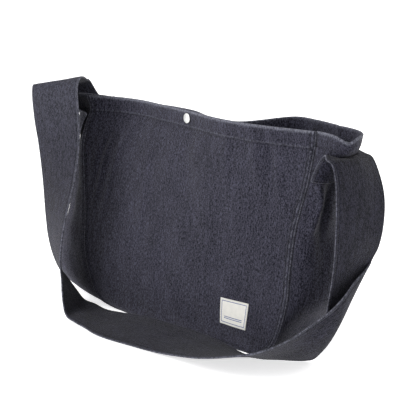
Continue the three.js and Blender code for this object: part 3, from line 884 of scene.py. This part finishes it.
def free_strap_rows():
    """The strap's middle surface at each row of its table."""
    run = strap_run
    front = np.stack([run["along"] * half_width, run["out"] * half_depth,
                      run["lift"] * bag_height + strap_wall / 2], -1)
    across = np.stack([run["across_x"], run["across_y"], run["across_z"]], -1) * strap_width
    steep = across[:, 2] / np.linalg.norm(across, axis=1)
    side = np.cross(across, np.stack([np.zeros_like(steep), -steep, np.sqrt(1 - steep ** 2)], -1))
    share = across_strap[None, :, None]
    bow = run["bow"][:, None, None] * np.sin(np.pi * share)
    return front[:, None] + across[:, None] * share + side[:, None] * bow


def sewn_strap_row(sign, height):
    """The strap's middle surface where it is sewn across an end wall at a height."""
    rows = right_end if sign > 0 else left_end
    fine = np.linspace(0, 1, 2001)
    v = np.interp(height / bag_height, read(rows["height"], fine), fine)
    t = np.linspace(0, 1, 401)
    a_little_up = 0.004
    points = end_surface(sign, t, np.full_like(t, v))
    higher = end_surface(sign, t, np.full_like(t, v + a_little_up))
    ways = unit(np.cross(np.gradient(points, axis=0), higher - points)) * sign
    lengths = lengths_along(points)
    wanted = (lengths[-1] - strap_width) / 2 + across_strap * strap_width
    play = sewn_play + strap_wall / 2
    return points_at(wanted, lengths, points) + points_at(wanted, lengths, ways) * play


def smooth_run(stations, per_step):
    """Smooth threads through the stations, spaced by the root of the distance between them."""
    first = 2 * stations[:1] - stations[1:2]
    last = 2 * stations[-1:] - stations[-2:-1]
    padded = np.concatenate([first, stations, last])
    rows = []
    for k in range(len(stations) - 1):
        p = padded[k:k + 4]
        gaps = np.maximum(np.linalg.norm(np.diff(p, axis=0), axis=-1) ** 0.5, 1e-5)[..., None]
        m1 = (p[1] - p[0]) / gaps[0] - (p[2] - p[0]) / (gaps[0] + gaps[1]) + (p[2] - p[1]) / gaps[1]
        m2 = (p[2] - p[1]) / gaps[1] - (p[3] - p[1]) / (gaps[1] + gaps[2]) + (p[3] - p[2]) / gaps[2]
        m1, m2 = m1 * gaps[1], m2 * gaps[1]
        length = np.linalg.norm(p[2] - p[1], axis=-1).mean()
        for f in np.arange(0, 1, 1 / max(2, round(length / per_step))):
            rows.append((2 * f ** 3 - 3 * f ** 2 + 1) * p[1] + (f ** 3 - 2 * f ** 2 + f) * m1
                        + (3 * f ** 2 - 2 * f ** 3) * p[2] + (f ** 3 - f ** 2) * m2)
    rows.append(stations[-1])
    return np.array(rows)


sewn_heights = bag_height - strap_sewn_drop - np.linspace(0, 1, 5) * strap_sewn_length
stations = np.concatenate([
    [sewn_strap_row(1, height) for height in sewn_heights[::-1]],
    free_strap_rows(),
    [sewn_strap_row(-1, height) for height in sewn_heights],
])
strap_middle = smooth_run(stations, cloth_step)
strap_ways = grid_ways(strap_middle)
strap_along = lengths_along(strap_middle[:, len(across_strap) // 2])
strap_x, strap_z = np.meshgrid(across_strap * strap_width, strap_along)
strap_side = np.minimum(strap_x, strap_width - strap_x)
edge_stitch_in = 0.0042
edge_round = 0.0016
strap_pucker = 0.00016
strap_pucker_pitch = 0.0068
strap_pucker_spread = 0.004
weave_shift = 0.37
roundness = np.clip(strap_side / edge_round, 0, 1)
thickness = strap_wall / 2 * (0.45 + 0.55 * np.sqrt(1 - (1 - roundness) ** 2))
groove = stitch_groove * bell(strap_side - edge_stitch_in, groove_spread)
pucker = strap_pucker * np.sin(full_turn * strap_z / strap_pucker_pitch)
pucker = pucker * bell(strap_side - edge_stitch_in, strap_pucker_spread)
waves = cloth_waves(strap_x, strap_z, seed=37, size=0.05, height=0.0006) * soft_step(0.0, 0.03, strap_side)
strap_lift = waves[..., None] * strap_ways
strap_half = thickness - groove
strap_outside = strap_middle + strap_ways * (strap_half + pucker)[..., None] + strap_lift
strap_inside = strap_middle - strap_ways * (strap_half - pucker)[..., None] + strap_lift
stitch_wear = 0.22 * bell(strap_side - edge_stitch_in + 0.0016, 0.001)
# Painted light: the rise at the left end, up near the rim, is painted a little paler, as if lit from above
painted_top_light = soft_step(strap_along[-1] - 0.34, strap_along[-1] - 0.14, strap_z)
# Edge wear, with the painted light of the left rise added
strap_wear_and_light = np.maximum(0.7 * bell(strap_side, 0.0009), stitch_wear) + 0.2 * painted_top_light
strap_cloth_map = np.stack([strap_x, strap_z, np.full_like(strap_x, weave_shift)], -1)
strap_denim = denim_material("strap_denim", (0.002, 0.0019, 0.0047), (0.032, 0.031, 0.053), 0.2)
strap_cloth = cloth_piece("strap_cloth", strap_outside, strap_inside, strap_cloth_map, strap_wear_and_light, 0,
                          [strap_denim], "strap")

strap_threads = []
for face, sign in ((strap_outside, 1), (strap_inside, -1)):
    for inward in (edge_stitch_in, strap_width - edge_stitch_in):
        strap_threads.append(line_on(face, sign * strap_ways, strap_x, inward))
# Rows across the strap, near the top and the foot of each sewn end
patch_ends = [0.0035, strap_sewn_length - 0.004]
patch_ends += [strap_along[-1] - place for place in patch_ends]
for along in patch_ends:
    across = np.linspace(edge_stitch_in, strap_width - edge_stitch_in, 40)
    row = int(np.argmin(np.abs(strap_along - along)))
    line, out = (points_at(across, strap_x[row], grid[row]) for grid in (strap_outside, strap_ways))
    strap_threads.append((line, unit(out)))
sewn_thread("strap_stitches", strap_threads, seam_thread)

# Snap
# A four part press snap of nickel plated brass: a domed cap clinched through the front hem to its
# socket, and a stud clinched through the back hem to the cap behind it, pressed together.
snap_play = 0.0005
snap_drop = 0.010
snap_column = 0.4643


def hem_seat(face):
    """Where a panel's hem carries the snap, and the way out of the cloth there."""
    rim = panel_surface(face, snap_column, 1.0)
    foot = panel_surface(face, snap_column, hem_row)
    beside = 0.02
    along = panel_surface(face, snap_column + beside, 1.0) - panel_surface(face, snap_column - beside, 1.0)
    way = unit(np.cross(along, rim - foot)) * (1 if face == "front" else -1)
    return rim + (foot - rim) * snap_drop / hem_width, way


def pressed_metal(name, node, profile, face, off):
    """A round part from its profile of radius and height in millimetres, clinched to a hem."""
    seat, way = hem_seat(face)
    side = unit(np.cross(way, (0.0, 0.0, 1.0)))
    up = np.cross(side, way)
    angles = np.linspace(0, full_turn, 72, endpoint=False)
    radii, heights = (np.array(profile) / 1000).T[:, :, None, None]
    rings = (seat + way * (off + heights)
             + radii * (np.cos(angles)[:, None] * side + np.sin(angles)[:, None] * up))
    numbers = np.arange(len(profile) * len(angles)).reshape(len(profile), -1)
    beside = np.roll(numbers, -1, axis=1)
    quads = np.stack([numbers[:-1], beside[:-1], beside[1:], numbers[1:]], -1).reshape(-1, 4)
    faces = quads.tolist() + [numbers[0, ::-1].tolist(), numbers[-1].tolist()]
    place = np.stack(np.broadcast_arrays(radii[..., 0], angles / full_turn, 0.0), -1)
    piece = new_piece(name, rings.reshape(-1, 3), faces, place.reshape(-1, 3), [nickel])
    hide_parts(node)
    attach(piece, "root")


nickel, nickel_shader, nickel_place = new_material("nickel_plate")
turning_marks = noise(nickel_place, (5200.0, 1.5, 1.0), detail=2.0)
spots = add_node(nickel.node_tree, "ShaderNodeTexNoise", Scale=700.0, Detail=3.0).outputs["Fac"]
finish = maths("MULTIPLY", turning_marks, spots)
set_sockets(nickel_shader, {
    "Base Color": blend(finish, (0.88, 0.88, 0.87), (0.66, 0.66, 0.64)),
    "Metallic": 1.0,
    "Roughness": plain_share(finish, 0.3, 0.55),
    "Normal": bumps(turning_marks, strength=0.25, depth=0.0001)})

cap_profile = [
    [5.6, 0.0], [7.0, 0.05], [7.4, 0.35], [7.5, 0.8], [7.35, 1.3], [6.9, 1.7], [6.3, 1.9], [5.9, 1.86],
    [5.6, 1.82], [5.2, 1.92], [4.2, 2.2], [3.0, 2.42], [1.6, 2.56], [0.5, 2.6]]
socket_profile = [
    [5.0, 0.0], [5.8, 0.05], [6.0, 0.3], [5.95, 0.8], [5.6, 1.2], [5.0, 1.45], [4.2, 1.6], [3.6, 1.55],
    [3.3, 1.2], [3.1, 0.6], [0.4, 0.5]]
stud_profile = [
    [4.2, 0.0], [4.85, 0.05], [5.0, 0.2], [4.9, 0.38], [4.4, 0.5], [2.5, 0.55], [2.25, 0.7], [2.3, 0.95],
    [2.4, 1.15], [2.15, 1.34], [1.5, 1.4], [0.3, 1.4]]
inward_socket = [[radius, -height] for radius, height in socket_profile][::-1]
inward_stud = [[radius, -height] for radius, height in stud_profile][::-1]
under_hem = -hem_wall - snap_play
pressed_metal("snap_cap_cover", "snap_cap", cap_profile, "front", snap_play)
pressed_metal("snap_socket_ring", "snap_socket", inward_socket, "front", under_hem)
pressed_metal("snap_stud_post", "snap_stud", inward_stud, "back", under_hem)
pressed_metal("snap_back_cap", "snap_post", cap_profile, "back", snap_play)

# Label
# A small woven label of off-white satin with a plain blue border and two plain stripes, laid flat on
# the lower right of the front panel and sewn down round its four edges.
label_width = 0.050
label_height = 0.037
label_wall = 0.0008
label_right = half_width - 0.081
label_lift = 0.0315
label_off = 0.0004
label_edge = 0.003
label_stitch_in = 0.0013
label_groove = 0.0003


def on_cloth(grid, x, z):
    """The point of a cloth grid that lies x across and z up."""
    rows, columns = np.arange(grid.shape[0]), np.arange(grid.shape[1])
    column = grid.shape[1] / 2
    for _ in range(4):
        left = int(column)
        row = np.interp(z, mix(grid[:, left, 2], grid[:, left + 1, 2], column - left), rows)
        low = int(row)
        column = np.interp(x, mix(grid[low, :, 0], grid[low + 1, :, 0], row - low), columns)
    left = int(column)
    below = mix(grid[low, left], grid[low, left + 1], column - left)
    above = mix(grid[low + 1, left], grid[low + 1, left + 1], column - left)
    return mix(below, above, row - low)


def label_steps(length):
    edges = [(0.0, label_edge), (length - label_edge, length)]
    return dense_steps(length, step=0.0016, fine_step=0.0005, fine_zones=edges)


label_x = label_steps(label_width)
label_z = label_steps(label_height)
label_across = label_right - label_width * (1 - label_x)
label_up = label_lift + label_height * label_z
label_bed = np.array([[on_cloth(front_outside, across, up) for across in label_across] for up in label_up])
label_ways = grid_ways(label_bed)
label_place_x, label_place_z = np.meshgrid(label_x * label_width, label_z * label_height)
label_side = np.minimum(np.minimum(label_place_x, label_width - label_place_x),
                        np.minimum(label_place_z, label_height - label_place_z))
label_waves = cloth_waves(label_place_x, label_place_z, seed=5, size=0.02, height=0.00012)
label_relief = label_waves - label_groove * bell(label_side - label_stitch_in, 0.0005)
label_outside = label_bed + label_ways * (label_off + label_wall + label_relief)[..., None]
label_inside = label_bed + label_ways * label_off
label_map = np.stack([label_place_x, label_place_z, np.zeros_like(label_place_x)], -1)


def apart(value, line):
    """How far a value lies from a line, either way."""
    return maths("ABSOLUTE", maths("SUBTRACT", value, line))


border_in = 0.0031
border_half = 0.00045
stripes_up = 0.0105
stripe_off = 0.0012
stripe_half = 0.0005
stripe_in = 0.008
label_weft_pitch = 0.00042
label_warp_pitch = 0.0006
woven, woven_shader, woven_place = new_material("woven_label")
across, upward = across_and_up(woven_place)
from_side = maths("SUBTRACT", label_width / 2, apart(across, label_width / 2))
from_foot = maths("SUBTRACT", label_height / 2, apart(upward, label_height / 2))
border = maths("LESS_THAN", apart(maths("MINIMUM", from_side, from_foot), border_in), border_half)
stripe = maths("LESS_THAN", apart(apart(upward, stripes_up), stripe_off), stripe_half)
stripe = maths("MULTIPLY", stripe, maths("GREATER_THAN", from_side, stripe_in))
weave = weighted((ripple(upward, label_weft_pitch), 0.5), (ripple(across, label_warp_pitch), 0.3))
dirt = noise(woven_place, (160.0, 160.0, 160.0), detail=4.0)
off_white = blend(dirt, (0.80, 0.78, 0.72), (0.62, 0.61, 0.58))
set_sockets(woven_shader, {
    "Base Color": blend(maths("MAXIMUM", border, stripe), off_white, (0.05, 0.09, 0.26)),
    "Normal": bumps(weave, strength=0.5, depth=0.00015),
    "Roughness": plain_share(dirt, 0.5, 0.75),
    "Sheen Weight": 0.1})

label_cloth = cloth_piece("woven_label", label_outside, label_inside, label_map,
                          np.zeros_like(label_place_x), 0, [woven], "label")
label_grids = (label_outside, label_ways)
label_threads = [
    line_on(*label_grids, label_place_x, label_stitch_in),
    line_on(*label_grids, label_place_x, label_width - label_stitch_in),
    line_on(*swapped(*label_grids, label_place_z), label_stitch_in),
    line_on(*swapped(*label_grids, label_place_z), label_height - label_stitch_in),
]
pale_thread = thread_material("label_thread", (0.42, 0.42, 0.4), (0.75, 0.74, 0.7))
sewn_thread("label_stitches", label_threads, pale_thread)
